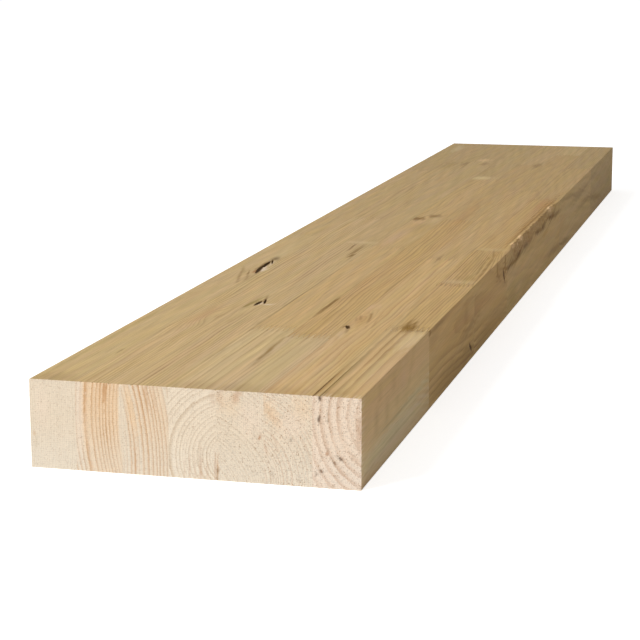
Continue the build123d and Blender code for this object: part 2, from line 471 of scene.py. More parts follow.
MARKS["front", 1] = [
    ("amber", 2.7, 23, 0.8, 1.4, 0, 0.4),
    ("olive", 4.2, 18, 0.7, 3, 0, 0.14),
    ("end pink", 9, 42, 4, 12, 0, 0.4),
]
MARKS["front", 2] = [
    ("end rust", 52.6, 55, 1.3, 9, 0.05, 0.7),
    ("end rust", 49, 53, 0.8, 9, 0.05, 0.3),
    ("end pink", 34.5, 40, 2.5, 30, 0, 0.6),
    ("end straw", 63.4, 38, 1.6, 26, 0, 0.55),
]
MARKS["front", 3] = [
    ("end rust", 81, 53, 1, 8, -0.16, 0.4),
    ("end rust", 86.5, 50, 0.8, 8, -0.12, 0.25),
    ("end orange", 70.5, 44, 2.4, 14, -0.22, 0.45),
    ("end straw", 65.2, 36, 2, 26, 0, 0.5),
    ("end rust", 73, 8, 0.7, 9, 0, 0.45),
]
MARKS["front", 4] = [
    ("end brown", 127.4, 8, 0.5, 9, 0, 0.6),
    ("end brown", 117.5, 6, 1, 12, 0, 0.45),
    ("end brown", 113.6, 7, 0.6, 10, 0, 0.28),
    ("end brown", 110, 6, 0.7, 10, 0, 0.32),
    ("end brown", 106.6, 5, 0.6, 8, 0, 0.25),
    ("end brown", 122, 5, 0.7, 8, 0, 0.28),
    ("russet", 126.5, 55, 2, 6, 0, 0.16),
]
MARKS["front", 5] = [
    ("russet", 131, 55, 2.6, 6, 0, 0.2),
    ("russet", 142, 56.5, 2.2, 4.5, 0.3, 0.45),
    ("end orange", 137, 52, 7, 8, 0, 0.22),
    ("end rust", 128.9, 7, 0.7, 8, 0.03, 0.55),
    ("brown", 128.9, 6.5, 0.7, 1.5, 0, 0.6),
    ("brown", 128.6, 1.5, 0.6, 1.2, 0, 0.45),
    ("russet", 157.3, 30.5, 0.9, 1.7, 0.25, 0.8),
    ("end pink", 152, 42, 8, 10, 0, 0.5),
]
MARKS["front", 6] = [
    ("grey", 178, 30.5, 0.7, 1.4, 0, 0.5),
    ("end orange", 185, 51, 6, 8, 0, 0.3),
    ("end orange", 165, 47, 4.5, 9, -0.5, 0.4),
    ("end brown", 166, 45, 2.5, 6, -0.8, 0.22),
    ("end pink", 179, 40, 8, 8, 0, 0.6),
    ("end brown", 161, 24, 0.7, 6, -0.3, 0.4),
    ("end brown", 167.5, 29, 0.6, 6, -0.4, 0.35),
]
MARKS["front", 7] = [
    ("end pink", 211.5, 27, 4.5, 8, -0.5, 0.75),
    ("end brown", 222.6, 38, 2.2, 11, 0, 0.5),
    ("umber", 196.9, 58.8, 0.9, 1.8, 0, 0.9),
    ("umber", 196.4, 45, 0.7, 2.3, 0, 0.9),
    ("brown", 202, 49, 0.5, 1.6, 0, 0.4),
    ("brown", 202.3, 44, 0.5, 1.2, 0, 0.5),
    ("brown", 203, 57, 0.5, 1.2, 0, 0.35),
    ("umber", 210.4, 20, 1, 1.6, -0.9, 0.95),
    ("brown", 206.3, 17.3, 0.8, 1.2, -0.6, 0.8),
    ("umber", 198, 10.8, 0.8, 1.4, -0.7, 0.8),
    ("brown", 194.6, 8.8, 0.8, 0.8, 0, 0.6),
    ("russet", 201.5, 23, 0.9, 1.3, 0, 0.7),
]

# Open checks, knot holes and cracks: the face, the middle, the half sizes, the
# slant and the depth. Inside they are painted dark, bark colour together with
# painted shade, and the deep ones are the darkest.
HOLES = {
    (1, 1): [
        ("top", 27, 461, 1.5, 15, -0.06, 2.2),
        ("top", 28.2, 436, 1.7, 17, -0.13, 1.5),
        ("top", 28.2, 477, 0.7, 9, -0.26, 1.4),
    ],
    (3, 1): [
        ("top", 71.6, 286.5, 1.4, 8, 0.02, 1.8),
        ("top", 74.8, 295, 0.8, 8.5, -0.2, 1.5),
    ],
    (6, 1): [("top", 162.4, 213.5, 1.5, 5.4, -0.28, 1.7)],
    (7, 1): [
        ("top", 192.7, 18, 0.38, 46, 0, 0.3),
        ("top", 197.2, 0, 0.24, 105, 0, 0.25),
    ],
    (7, 2): [("right", 388.5, 11, 3.2, 4.2, -1.2, 0.5)],
    (7, 3): [("right", 558, 42, 2.8, 6.5, -0.8, 0.6)],
}

# Knots that push the rings aside: the middle, the radius and how drawn out along y
KNOTS = {
    (1, 1): [(26.4, 462, 4, 6), (24, 410, 2.5, 5)],
    (3, 1): [(71.5, 287, 3.2, 4), (66, 285, 2, 7)],
    (4, 3): [(108, 778, 7, 2.6)],
    (6, 1): [(161.5, 214, 3.2, 3.2), (168, 250, 4.2, 6)],
}

# Places where the rings on the top bow aside: the middle, the half sizes and by
# how many rings
BOWED = {
    (1, 1): [(19, 396, 7, 30, -1.5)],
    (2, 1): [(48, 238, 8, 44, -4)],
    (6, 1): [(166, 246, 5, 22, -2)],
    (7, 3): [(226, 592, 18, 64, 4)],
}


def smooth(values, low, high):
    """Goes smoothly from 0 at low to 1 at high."""
    share = np.clip((values - low) / (high - low), 0, 1)
    return share * share * (3 - 2 * share)


def drift(points, wavelengths, seed):
    """Smooth noise about 0, with a wavelength for each axis."""
    waves = 7
    draw = np.random.default_rng(seed)
    total = np.zeros(len(points))
    for _ in range(waves):
        turns = draw.uniform(0.55, 1.7, 3) * draw.choice((-1.0, 1.0), 3) / np.array(wavelengths)
        total += np.sin(2 * math.pi * (points @ turns + draw.uniform()))
    return total / math.sqrt(waves)


# The grid of a block

def finger_line(x_in_stave, low, high):
    """How far back the flank line of the fingers lies at x."""
    phase = np.mod(x_in_stave - FIRST_ROOT, FINGER_PITCH)
    from_root = np.minimum(phase, FINGER_PITCH - phase)
    share = (from_root - FINGER_TIP / 2) / (FINGER_PITCH / 2 - FINGER_TIP)
    return low + np.clip(share, 0, 1) * (high - low)


def merged(kept, wanted):
    """kept, and those of wanted that aren't too near to a value already there."""
    values = sorted(kept)
    for value in sorted(wanted):
        if all(abs(value - other) >= SMALLEST_STEP for other in values):
            values.append(value)
    return np.array(sorted(values))


def steps_over(low, high, step):
    """Evenly spaced values from low to high, about step apart."""
    return np.linspace(low, high, max(2, round((high - low) / step) + 1))


def arris_steps():
    """Distances from an edge that round its arris evenly."""
    turns = np.radians((45, 30, 15, 0))
    return ARRIS_RADIUS * (1 - np.tan(turns))


def hole_span(hole, axis):
    """The stretch that a hole covers along one axis of its face."""
    face, u, v, half_u, half_v, slant, depth = hole
    if axis == "v":
        return v - 1.2 * half_v, v + 1.2 * half_v
    reach = 1.4 * half_u + abs(slant) * half_v + 0.5
    return u - reach, u + reach


def finger_columns():
    """x in a stave of the ends of the finger flanks, and of steps between them."""
    found = {0.0, STAVE_WIDTH}
    for count in range(-1, int(WHOLE_FINGERS) + 2):
        root = FIRST_ROOT + count * FINGER_PITCH
        tip = root + FINGER_PITCH / 2
        for start, end in ((root, tip), (tip, root + FINGER_PITCH)):
            flank = np.linspace(start + FINGER_TIP / 2, end - FINGER_TIP / 2, FLANK_STEPS + 1)
            found.update(flank)
    return [x for x in found if 0 <= x <= STAVE_WIDTH]


def columns_of(stave, block):
    """x of the mesh's columns, from the stave's left face to its right face."""
    left = (stave - 1) * STAVE_WIDTH
    extra = [SMALLEST_STEP, STAVE_WIDTH - SMALLEST_STEP]
    if stave == 1:
        extra += list(arris_steps())
    if stave == STAVES:
        extra += list(STAVE_WIDTH - arris_steps())
    columns = merged(finger_columns(), extra) + left
    for hole in HOLES.get((stave, block), ()):
        if hole[0] == "top":
            low, high = hole_span(hole, "u")
            low, high = max(low, left), min(high, left + STAVE_WIDTH)
            columns = merged(columns, steps_over(low, high, HOLE_COLUMN_STEP))
    return columns


def fine_stretches(stave, block):
    """The stretches of y that need closer rows, each with its step."""
    found = []
    if stave == STAVES:
        found.append((TORN_START - TORN_MARGIN, TORN_END + TORN_MARGIN, FINE_ROW_STEP))
    for hole in HOLES.get((stave, block), ()):
        if hole[0] == "top":
            low, high = hole_span(hole, "v")
            found.append((low, high, max(HOLE_ROW_STEP, (high - low) / HOLE_ROWS)))
        else:
            low, high = hole_span(hole, "u")
            found.append((low, high, HOLE_ROW_STEP))
    return found


def rows_of(stave, block, start, end):
    """y of the straight rows between the two ends of a block."""
    rows = set(steps_over(start, end, ROW_STEP))
    if start == 0:
        rows = {y for y in rows if y > FRONT_ROWS[-1] or y == 0} | set(FRONT_ROWS)
    for low, high, step in fine_stretches(stave, block):
        low, high = max(low, start), min(high, end)
        if low < high:
            rows = {y for y in rows if y in (start, end) or not low - step < y < high + step}
            rows |= set(steps_over(low, high, step))
    return merged([start, end], rows)


def levels_of(stave, block):
    """z of the levels on a block's outer side and on a sawn end."""
    edge = arris_steps()
    middle = steps_over(ARRIS_RADIUS, PLANK_THICKNESS - ARRIS_RADIUS, LEVEL_STEP)
    levels = np.unique(np.round(np.concatenate([edge, middle, PLANK_THICKNESS - edge]), 6))
    for hole in HOLES.get((stave, block), ()):
        if hole[0] == "right":
            low, high = hole_span(hole, "v")
            low, high = max(low, 1), min(high, PLANK_THICKNESS)
            levels = merged(levels, steps_over(low, high, HOLE_LEVEL_STEP))
    return levels


def quads(numbers, flip=False):
    """The faces of a full patch of the grid."""
    corners = (numbers[:-1, :-1], numbers[1:, :-1], numbers[1:, 1:], numbers[:-1, 1:])
    if flip:
        corners = corners[::-1]
    return np.stack([c.ravel() for c in corners], 1).tolist()


class BlockGrid:
    """The surface of one block as a box-like grid of columns, rows and levels."""

    def __init__(self, stave, block, blocks_in_stave):
        low_corner, high_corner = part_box(f"stave_{stave}_block_{block}")
        self.left = (stave - 1) * STAVE_WIDTH
        self.front = low_corner.y * METRE - FRAME_CORNER[1]
        self.back = high_corner.y * METRE - FRAME_CORNER[1]
        self.joints = []
        # The sides that show. The others are glued to a neighbour.
        self.shows = {
            "left": stave == 1,
            "right": stave == STAVES,
            "front": block == 1,
            "back": block == blocks_in_stave,
        }
        x = columns_of(stave, block)
        rows = self.all_rows(x, stave, block)
        z = levels_of(stave, block)
        place = np.empty((len(x), len(rows), len(z), 3))
        place[..., 0] = x[:, None, None]
        place[..., 1] = np.array(rows).T[:, :, None]
        place[..., 2] = z[None, None, :]
        used = self.on_surface(place.shape[:3])
        self.number = np.full(used.shape, -1)
        self.number[used] = np.arange(used.sum())
        self.points = place[used]

    def all_rows(self, x, stave, block):
        """y of each row at every column. The outer rows turn into the fingers."""
        shares = np.arange(JOINT_ROWS) / JOINT_ROWS
        start, end = 0.0, PLANK_LENGTH
        near_rows, far_rows = [], []
        if not self.shows["front"]:
            low = self.front - TIP_GAP
            start = low + FINGER_LENGTH + CLEAR_OF_FINGERS
            high = start - CLEAR_OF_FINGERS
            self.joints.append((low, high))
            near = np.maximum(finger_line(x - self.left, low, high), self.front)
            near_rows = [near + (start - near) * share for share in shares]
        if not self.shows["back"]:
            high = self.back + TIP_GAP
            end = high - FINGER_LENGTH - CLEAR_OF_FINGERS
            low = end + CLEAR_OF_FINGERS
            self.joints.append((low, high))
            far = np.minimum(finger_line(x - self.left, low, high), self.back)
            far_rows = [far + (end - far) * share for share in shares[::-1]]
        straight = [np.full(len(x), y) for y in rows_of(stave, block, start, end)]
        return near_rows + straight + far_rows

    def on_surface(self, shape):
        """Which points of the grid lie on the top, the bottom or a side that shows."""
        used = np.zeros(shape, bool)
        used[:, :, [0, -1]] = True
        used[0] |= self.shows["left"]
        used[-1] |= self.shows["right"]
        used[:, 0] |= self.shows["front"]
        used[:, -1] |= self.shows["back"]
        return used

    def faces(self):
        """All faces, with their corners in turn seen from outside."""
        found = quads(self.number[:, :, -1])
        found += quads(self.number[:, :, 0], flip=True)
        found += self.wall("front", self.number[:, 0, :], flip=False)
        found += self.wall("back", self.number[:, -1, :], flip=True)
        found += self.wall("right", self.number[-1, :, :], flip=False)
        found += self.wall("left", self.number[0, :, :], flip=True)
        return found

    def wall(self, side, numbers, flip):
        """A side: a fine patch where it shows, and otherwise faces of full height."""
        if self.shows[side]:
            return quads(numbers, flip)
        found = []
        for near, far in zip(numbers, numbers[1:]):
            up_far = [int(v) for v in far if v >= 0]
            down_near = [int(v) for v in near[::-1] if v >= 0]
            corners = down_near[-1:] + up_far + down_near[:-1]
            found.append(corners[::-1] if flip else corners)
        return found


# Places on the faces of the plank

def on_face(points, face):
    """Which points lie on a face, and their two coordinates on it."""
    x, y, z = points.T
    if face == "top":
        return z > PLANK_THICKNESS - ON_FACE, x, y
    if face == "right":
        return x > PLANK_WIDTH - ON_FACE, y, z
    return y < ON_FACE, x, z


def reach_of(u, v, middle_u, middle_v, half_u, half_v, slant):
    """0 in the middle of an oval mark and 1 on its outline."""
    across = (u - middle_u - slant * (v - middle_v)) / half_u
    along = (v - middle_v) / half_v
    return np.hypot(across, along)


def hole_field(points, stave, block):
    """How dark each point is, and how deep it is sunk on the top and on the side."""
    dark = np.zeros(len(points))
    sunk = {"top": np.zeros(len(points)), "right": np.zeros(len(points))}
    ragged = 0.16 * drift(points, (2.5, 9, 2.5), 40 + stave)
    for face, u, v, half_u, half_v, slant, depth in HOLES.get((stave, block), ()):
        there, at_u, at_v = on_face(points, face)
        reach = reach_of(at_u, at_v, u, v, half_u, half_v, slant) * (1 + ragged)
        # Deeper holes get more painted darkness: painted shade inside them.
        darkest = min(1.0, 0.50 + 0.25 * depth)
        dark = np.maximum(dark, there * darkest * np.clip(1.45 - 0.8 * reach, 0, 1))
        bowl = np.sqrt(np.clip(1 - reach ** 2, 0, 1))
        sunk[face] = np.maximum(sunk[face], there * depth * bowl * (1 + 0.3 * ragged))
    return dark, sunk


def torn_field(points):
    """For the torn arris: its inset at each point, and where its fibres and lip show."""
    x, y, z = points.T
    along_edge = points * (0, 1, 0)
    run = smooth(y, TORN_START, TORN_START + TORN_RUN_OUT)
    run = run * (1 - smooth(y, TORN_END - TORN_RUN_OUT, TORN_END))
    drop = TORN_DROP + (TORN_DROP_AT_BACK - TORN_DROP) * smooth(y, TORN_START, TORN_END)
    drop = drop * run * (1 + 0.09 * drift(along_edge, (1, 55, 1), 61))
    below = (PLANK_THICKNESS - z) / np.maximum(drop, 0.01)
    inside = 1 - smooth(below, 0.70, 1.0)
    bevel = 0.70 * (1 - smooth(below, 0.0, 0.6)) + 0.30 * inside
    notches = 1 + 0.22 * drift(along_edge, (1, 34, 1), 62) + 0.16 * drift(along_edge, (1, 11, 1), 63)
    fibres = np.clip(0.5 + 0.5 * drift(points * (0, 1, 1), (1, 24, 2.4), 64), 0, 1)
    inset = TORN_INSET * run * bevel * np.clip(notches, 0.3, 1.6) + FIBRE_INSET * run * inside * fibres
    fade = smooth(x, PLANK_WIDTH - TORN_REACH, PLANK_WIDTH)
    patches = smooth(drift(along_edge, (1, 70, 1), 65), -0.6, 0.9)
    lip = np.exp(-((below - 0.85) / 0.13) ** 2) * run * patches
    on_side = x > PLANK_WIDTH - TORN_SHOWS_WITHIN
    return inset * fade, run * inside * (0.35 + 0.65 * fibres) * on_side, lip * on_side


# Growth rings

def distance_from_pith(points, tree, origin, seed, knots):
    """How far each point lies from its tree's pith. Knots push the rings aside."""
    x, y, z = points.T
    along = y - origin
    long_wave = drift(points * (0, 1, 0), (1, 420, 1), seed)
    short_wave = drift(points, (60, 130, 60), seed + 1)
    wander = tree.wander * smooth(along, 0, 160)
    dx = x - tree.pith[0] - tree.lean[0] * along + wander * (0.9 * long_wave + 0.35 * short_wave)
    dz = (z - tree.pith[1] - tree.lean[1] * along) * tree.squash
    for knot_x, knot_y, radius, stretch in knots:
        off_x = x - knot_x
        off_y = (y - knot_y) / stretch
        near = radius ** 2 / (off_x ** 2 + off_y ** 2 + 0.35 * radius ** 2)
        dx = dx - off_x * np.clip(near, 0, 0.9) * smooth(z, 20, 60)
    return np.hypot(dx, dz)


def ring_number(points, stave, block, origin, seed):
    """The ring that each point lies in. Its fraction grows from early to late wood."""
    tree = TREES[stave, block]
    distance = distance_from_pith(points, tree, origin, seed, KNOTS.get((stave, block), ()))
    if tree.lines:
        height = (tree.lines_height - tree.pith[1]) * tree.squash
        known = sorted(math.hypot(place - tree.pith[0], height) for place, _ in tree.lines)
        spare = tree.spacing * np.arange(1, SPARE_RINGS)
        radii = np.concatenate([known[0] - spare[::-1], known, known[-1] + spare])
        ring = np.interp(distance, radii, np.arange(len(radii)) - len(spare))
    else:
        ring = distance / tree.spacing
        waves = 0.45 * np.sin(ring * 0.9 + seed) + 0.35 * np.sin(ring * 0.37 + 2 * seed)
        ring = ring + tree.uneven * waves
    for middle_x, middle_y, half_x, half_y, rings in BOWED.get((stave, block), ()):
        off = np.hypot((points[:, 0] - middle_x) / half_x, (points[:, 1] - middle_y) / half_y)
        ring = ring + rings * np.exp(-off ** 2) * smooth(points[:, 2], 20, 60)
    return ring


def line_strength(tree, ring):
    """How strong each ring's dark line is, from the places that give their own."""
    if not tree.lines:
        return np.ones(len(ring))
    known = sorted((abs(place - tree.pith[0]), strength) for place, strength in tree.lines)
    strengths = [strength for _, strength in known]
    return np.interp(ring, np.arange(len(known)) - 0.5, strengths)


# Colours on the vertices. A block's coats are its four colours: tone and line on
# the long grain, and end_tone and end_line on a sawn end.

LONG_COATS = ("tone", "line")
END_COATS = ("end_tone", "end_line")


def blend(coats, names, weight, colour):
    """Moves some of the coats towards a colour, by each point's weight."""
    for name in names:
        coats[name] += weight[:, None] * (WOOD[colour] - coats[name])


def plain_coats(points, tree, seed):
    """The coats of plain wood, which drift in brightness and warmth. The end is cooler low down."""
    bright = 1 + 0.030 * drift(points, (14, 120, 14), seed + 2)
    bright = bright + 0.018 * drift(points, (5, 50, 5), seed + 3)
    warmth = drift(points, (22, 160, 22), seed + 4)[:, None] * (0.010, 0.0, -0.022)
    mottle = tree.shade * (bright[:, None] + warmth)
    cool = (1 - smooth(points[:, 2], 2, 35))[:, None] * (-0.01, 0.03, 0.08)
    end_line = np.tile(WOOD[tree.end_line], (len(points), 1))
    if tree.heart:
        end_line += 0.5 * (WOOD["end pale"] - end_line)
    return {
        "tone": WOOD[tree.tone] * mottle,
        "line": WOOD[tree.line] * mottle,
        "end_tone": np.tile(WOOD[tree.end], (len(points), 1)) * (1 + cool),
        "end_line": end_line,
    }


def redden_heart(coats, points, tree, ring):
    """The heartwood is redder, most of all near the top of the end."""
    for first, last, amount in tree.heart:
        heart = smooth(ring, first - 0.5, first) * (1 - smooth(ring, last, last + 0.5))
        heart = heart * (0.4 + 0.6 * smooth(points[:, 2], 5, 50))
        blend(coats, ["end_tone"], amount * heart, "end orange")
        blend(coats, ["end_line"], heart, tree.end_line)
        blend(coats, ["tone"], 0.08 * amount * heart, "russet")


def darken_glue(coats, points, stave, grid):
    """Squeezed-out glue darkens the edges of a stave and the outline of its fingers."""
    x, y, _ = points.T
    from_glue = np.minimum(x - grid.left, grid.left + STAVE_WIDTH - x)
    inner = ~((x < 1) | (x > PLANK_WIDTH - 1))
    glue = GLUE_ALONG_STAVE * np.exp(-(from_glue / 0.30) ** 2) * inner
    near_glue = GLUE_IN_LAST_STAVE if stave == STAVES else GLUE_IN_JOINT
    for low, high in grid.joints:
        in_fingers = near_glue if low < NEAR_JOINTS else GLUE_IN_FAR_JOINT
        from_flank = y - finger_line(x - grid.left, low, high)
        glue = np.maximum(glue, in_fingers * np.exp(-(from_flank / 2.5) ** 2) * inner)
    blend(coats, LONG_COATS, glue, "brown")


def lay_marks(coats, points, stave, block, seed):
    """Lays on the marks of the stave and of the block, with ragged outlines."""
    ragged = 1 + 0.22 * drift(points, (7, 38, 7), seed + 6)
    ragged = ragged + 0.10 * drift(points, (2.5, 12, 2.5), seed + 7)
    for face, names in (("top", LONG_COATS), ("right", LONG_COATS), ("front", END_COATS)):
        there, at_u, at_v = on_face(points, face)
        marks = MARKS.get((face, stave), []) + MARKS.get((face, stave, block), [])
        for colour, u, v, half_u, half_v, slant, amount in marks:
            reach = reach_of(at_u, at_v, u, v, half_u, half_v, slant) * ragged
            blend(coats, names, there * amount * np.exp(-0.7 * reach ** 3), colour)


def show_torn_fibres(coats, points, stave):
    """Pale fibres on the arrises of the front end; in the torn arris darker fibres, and a dark band along
    its lower ledge.
    """
    fray = smooth(drift(points, (3.1, 40, 2.6), 12), 0.1, 0.6) * np.exp(-(points[:, 1] / 0.6) ** 2)
    blend(coats, LONG_COATS, 0.40 * fray, "end cream")
    if stave == STAVES:
        _, torn, lip = torn_field(points)
        blend(coats, LONG_COATS, 0.45 * torn, "torn")
        # A dark band just above the lower ledge of the torn arris
        blend(coats, LONG_COATS, 0.50 * lip, "umber")


def paint(grid, stave, block):
    """The numbers that the wood's shader reads, for every vertex."""
    points = grid.points
    tree = TREES[stave, block]
    seed = 100 * stave + 10 * block
    ring = ring_number(points, stave, block, grid.front, seed)
    strength = line_strength(tree, ring)
    coats = plain_coats(points, tree, seed)
    redden_heart(coats, points, tree, ring)
    darken_glue(coats, points, stave, grid)
    lay_marks(coats, points, stave, block, seed)
    show_torn_fibres(coats, points, stave)
    far_side = (points[:, 0] > PLANK_WIDTH - ON_FACE) * smooth(points[:, 1], *SIDE_FADES)
    patchy = np.clip(0.92 + 0.16 * drift(points, (40, 1, 60), seed + 5), 0.5, 1.3)
    dark, _ = hole_field(points, stave, block)
    return {
        "ring": ring,
        "line_strength": strength * tree.strength * (1 - SIDE_FADE * far_side),
        "end_strength": strength * tree.end_strength * patchy,
        "rough": np.full(len(points), tree.rough),
        "steady": np.full(len(points), 1.0 if tree.lines else 0.0),
        "dark": dark,
        **coats,
    }


# Relief

def carve(points, stave, block, ring):
    """The points moved in from the plank's plain outline by everything carved in it."""
    moved = points.copy()
    x, y, z = points.T
    left = (stave - 1) * STAVE_WIDTH
    on_top = z > PLANK_THICKNESS - ON_FACE
    on_right = x > PLANK_WIDTH - ON_FACE
    on_left = x < ON_FACE
    _, sunk = hole_field(points, stave, block)

    # Planed faces, a little lower in the early wood and at the glue lines
    late_wood = smooth(np.mod(ring, 1), 0.35, 0.9) * (1 - smooth(np.mod(ring, 1), 0.93, 1))
    planed = 0.035 * (1 - late_wood) + 0.02 * np.clip(1 + drift(points, (9, 60, 9), 5), 0, 2)
    from_glue = np.minimum(x - left, left + STAVE_WIDTH - x)
    groove = 0.07 * np.exp(-(from_glue / 0.16) ** 2) * ~(on_left | on_right)
    inner = smooth(x, 0, 1.5) * smooth(PLANK_WIDTH - x, 0, 1.5)
    moved[:, 2] -= on_top * (planed * inner + groove + sunk["top"])
    moved[:, 2] += (z < ON_FACE) * (planed * inner + groove)

    # Saw marks on the two ends, and chips out of the front end's edges
    saw = 0.05 * (1 + drift(points, (1.7, 1, 40), 8)) + 0.04 * (1 + drift(points, (30, 1, 1.3), 9))
    inward = np.clip(saw, 0, 0.3) * smooth(z, 0, 2) * smooth(PLANK_THICKNESS - z, 0, 2)
    to_edge = np.minimum(PLANK_THICKNESS - z, PLANK_WIDTH - x)
    chipped = np.clip(drift(points, (4.5, 1, 4.5), 11) - 0.35, 0, 1) * np.exp(-(to_edge / 0.9) ** 2)
    moved[:, 1] += (y < ON_FACE) * (inward + 0.7 * chipped)
    moved[:, 1] -= (y > PLANK_LENGTH - ON_FACE) * inward

    side = smooth(z, 0, 1.5) * smooth(PLANK_THICKNESS - z, 0, 1.5) * planed
    if stave == 1:
        moved[:, 0] += on_left * side
    if stave == STAVES:
        inset, _, _ = torn_field(points)
        moved[:, 0] -= on_right * (side + sunk["right"]) + inset
    return round_arris(moved, points, stave)


def round_arris(moved, points, stave):
    """Turns the square outer edges of the grid into rounds of the arris radius."""
    if stave not in (1, STAVES):
        return moved
    x, _, z = points.T
    from_side = x if stave == 1 else PLANK_WIDTH - x
    from_flat = np.minimum(z, PLANK_THICKNESS - z)
    corner = (from_side < ARRIS_RADIUS) & (from_flat < ARRIS_RADIUS)
    across = ARRIS_RADIUS - from_side[corner]
    up = ARRIS_RADIUS - from_flat[corner]
    shrink = 1 - ARRIS_RADIUS / np.maximum(np.hypot(across, up), ARRIS_RADIUS * 1e-3)
    inward_x = 1 if stave == 1 else -1
    inward_z = np.where(z[corner] > PLANK_THICKNESS / 2, -1, 1)
    moved[corner, 0] += inward_x * across * shrink
    moved[corner, 2] += inward_z * up * shrink
    return moved


# Pieces

def add_numbers(mesh, numbers):
    """Stores the painted numbers as point attributes."""
    for name, values in numbers.items():
        if values.ndim == 1:
            attribute = mesh.attributes.new(name, "FLOAT", "POINT")
            attribute.data.foreach_set("value", values.astype(np.float32))
        else:
            attribute = mesh.attributes.new(name, "FLOAT_COLOR", "POINT")
            opaque = np.ones((len(values), 4), np.float32)
            opaque[:, :3] = np.clip(values, 0.002, 1)
            attribute.data.foreach_set("color", opaque.ravel())


def make_block(stave, block, blocks_in_stave, material):
    """One block of the plank, in place of its CAD node."""
    node = f"stave_{stave}_block_{block}"
    grid = BlockGrid(stave, block, blocks_in_stave)
    numbers = paint(grid, stave, block)
    points = carve(grid.points, stave, block, numbers["ring"])
    mesh = bpy.data.meshes.new(f"{node}_wood")
    mesh.from_pydata(((points + FRAME_CORNER) / METRE).tolist(), [], grid.faces())
    mesh.polygons.foreach_set("use_smooth", np.ones(len(mesh.polygons), bool))
    mesh.update()
    mesh.set_sharp_from_angle(angle=math.radians(SHARP_ANGLE))
    add_numbers(mesh, numbers)
    mesh.materials.append(material)
    piece = bpy.data.objects.new(f"{node}_wood", mesh)
    bpy.context.scene.collection.objects.link(piece)
    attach(piece, "root")
    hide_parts(node)


# Materials

class Shader:
    """The nodes of a material or a world, with short calls for the ones used here."""

    def __init__(self, owner):
        owner.use_nodes = True
        self.nodes = owner.node_tree.nodes
        self.links = owner.node_tree.links
        self.nodes.clear()

    def add(self, kind, inputs=None, **settings):
        """A node. Each input is a number, a colour or another node's socket."""
        node = self.nodes.new(kind)
        for name, value in settings.items():
            setattr(node, name, value)
        for socket, value in (inputs or {}).items():
            if isinstance(value, bpy.types.NodeSocket):
                self.links.new(value, node.inputs[socket])
            else:
                node.inputs[socket].default_value = value
        return node

    def math(self, operation, a, b=0.0, c=0.0):
        return self.add("ShaderNodeMath", {0: a, 1: b, 2: c}, operation=operation).outputs[0]

    def times(self, a, b):
        return self.math("MULTIPLY", a, b)

    def plus(self, base, value, amount):
        """base plus value times amount."""
        return self.math("MULTIPLY_ADD", value, amount, base)

    def sway(self, base, noise, amount):
        """base moved up or down by a noise, over a range of amount."""
        return self.plus(base, self.math("SUBTRACT", noise, 0.5), amount)

    def ramp(self, value, low, high, to_low=0.0, to_high=1.0):
        """Goes smoothly from to_low, where value is low, to to_high."""
        inputs = {"Value": value, "From Min": low, "From Max": high, "To Min": to_low, "To Max": to_high}
        return self.add("ShaderNodeMapRange", inputs, interpolation_type="SMOOTHSTEP").outputs[0]

    def number(self, name):
        return self.add("ShaderNodeAttribute", attribute_name=name).outputs["Fac"]

    def colour(self, name):
        return self.add("ShaderNodeAttribute", attribute_name=name).outputs["Color"]

    def mix(self, factor, a, b):
        return self.add("ShaderNodeMix", {0: factor, 6: a, 7: b}, data_type="RGBA").outputs[2]

    def mix_wood(self, factor, a, colour_name):
        return self.mix(factor, a, (*WOOD[colour_name], 1))

    def tint(self, colour, brightness):
        """colour times a number."""
        inputs = {0: colour, "Scale": brightness}
        return self.add("ShaderNodeVectorMath", inputs, operation="SCALE").outputs[0]

    def axis(self, vector, number):
        return self.add("ShaderNodeSeparateXYZ", {0: vector}).outputs[number]

    def stretched(self, vector, across, along):
        inputs = {"Vector": vector, "Scale": (across, along, across)}
        return self.add("ShaderNodeMapping", inputs).outputs[0]

    def noise(self, vector, scale, detail=2.0, roughness=0.5):
        inputs = {"Vector": vector, "Scale": scale, "Detail": detail, "Roughness": roughness}
        return self.add("ShaderNodeTexNoise", inputs).outputs[0]

    def dots(self, vector, scale, full, gone):
        """Dots at random places, from full strength at one radius to none at another."""
        cells = self.add("ShaderNodeTexVoronoi", {"Vector": vector, "Scale": scale})
        return self.ramp(cells.outputs["Distance"], full, gone, 1.0, 0.0)


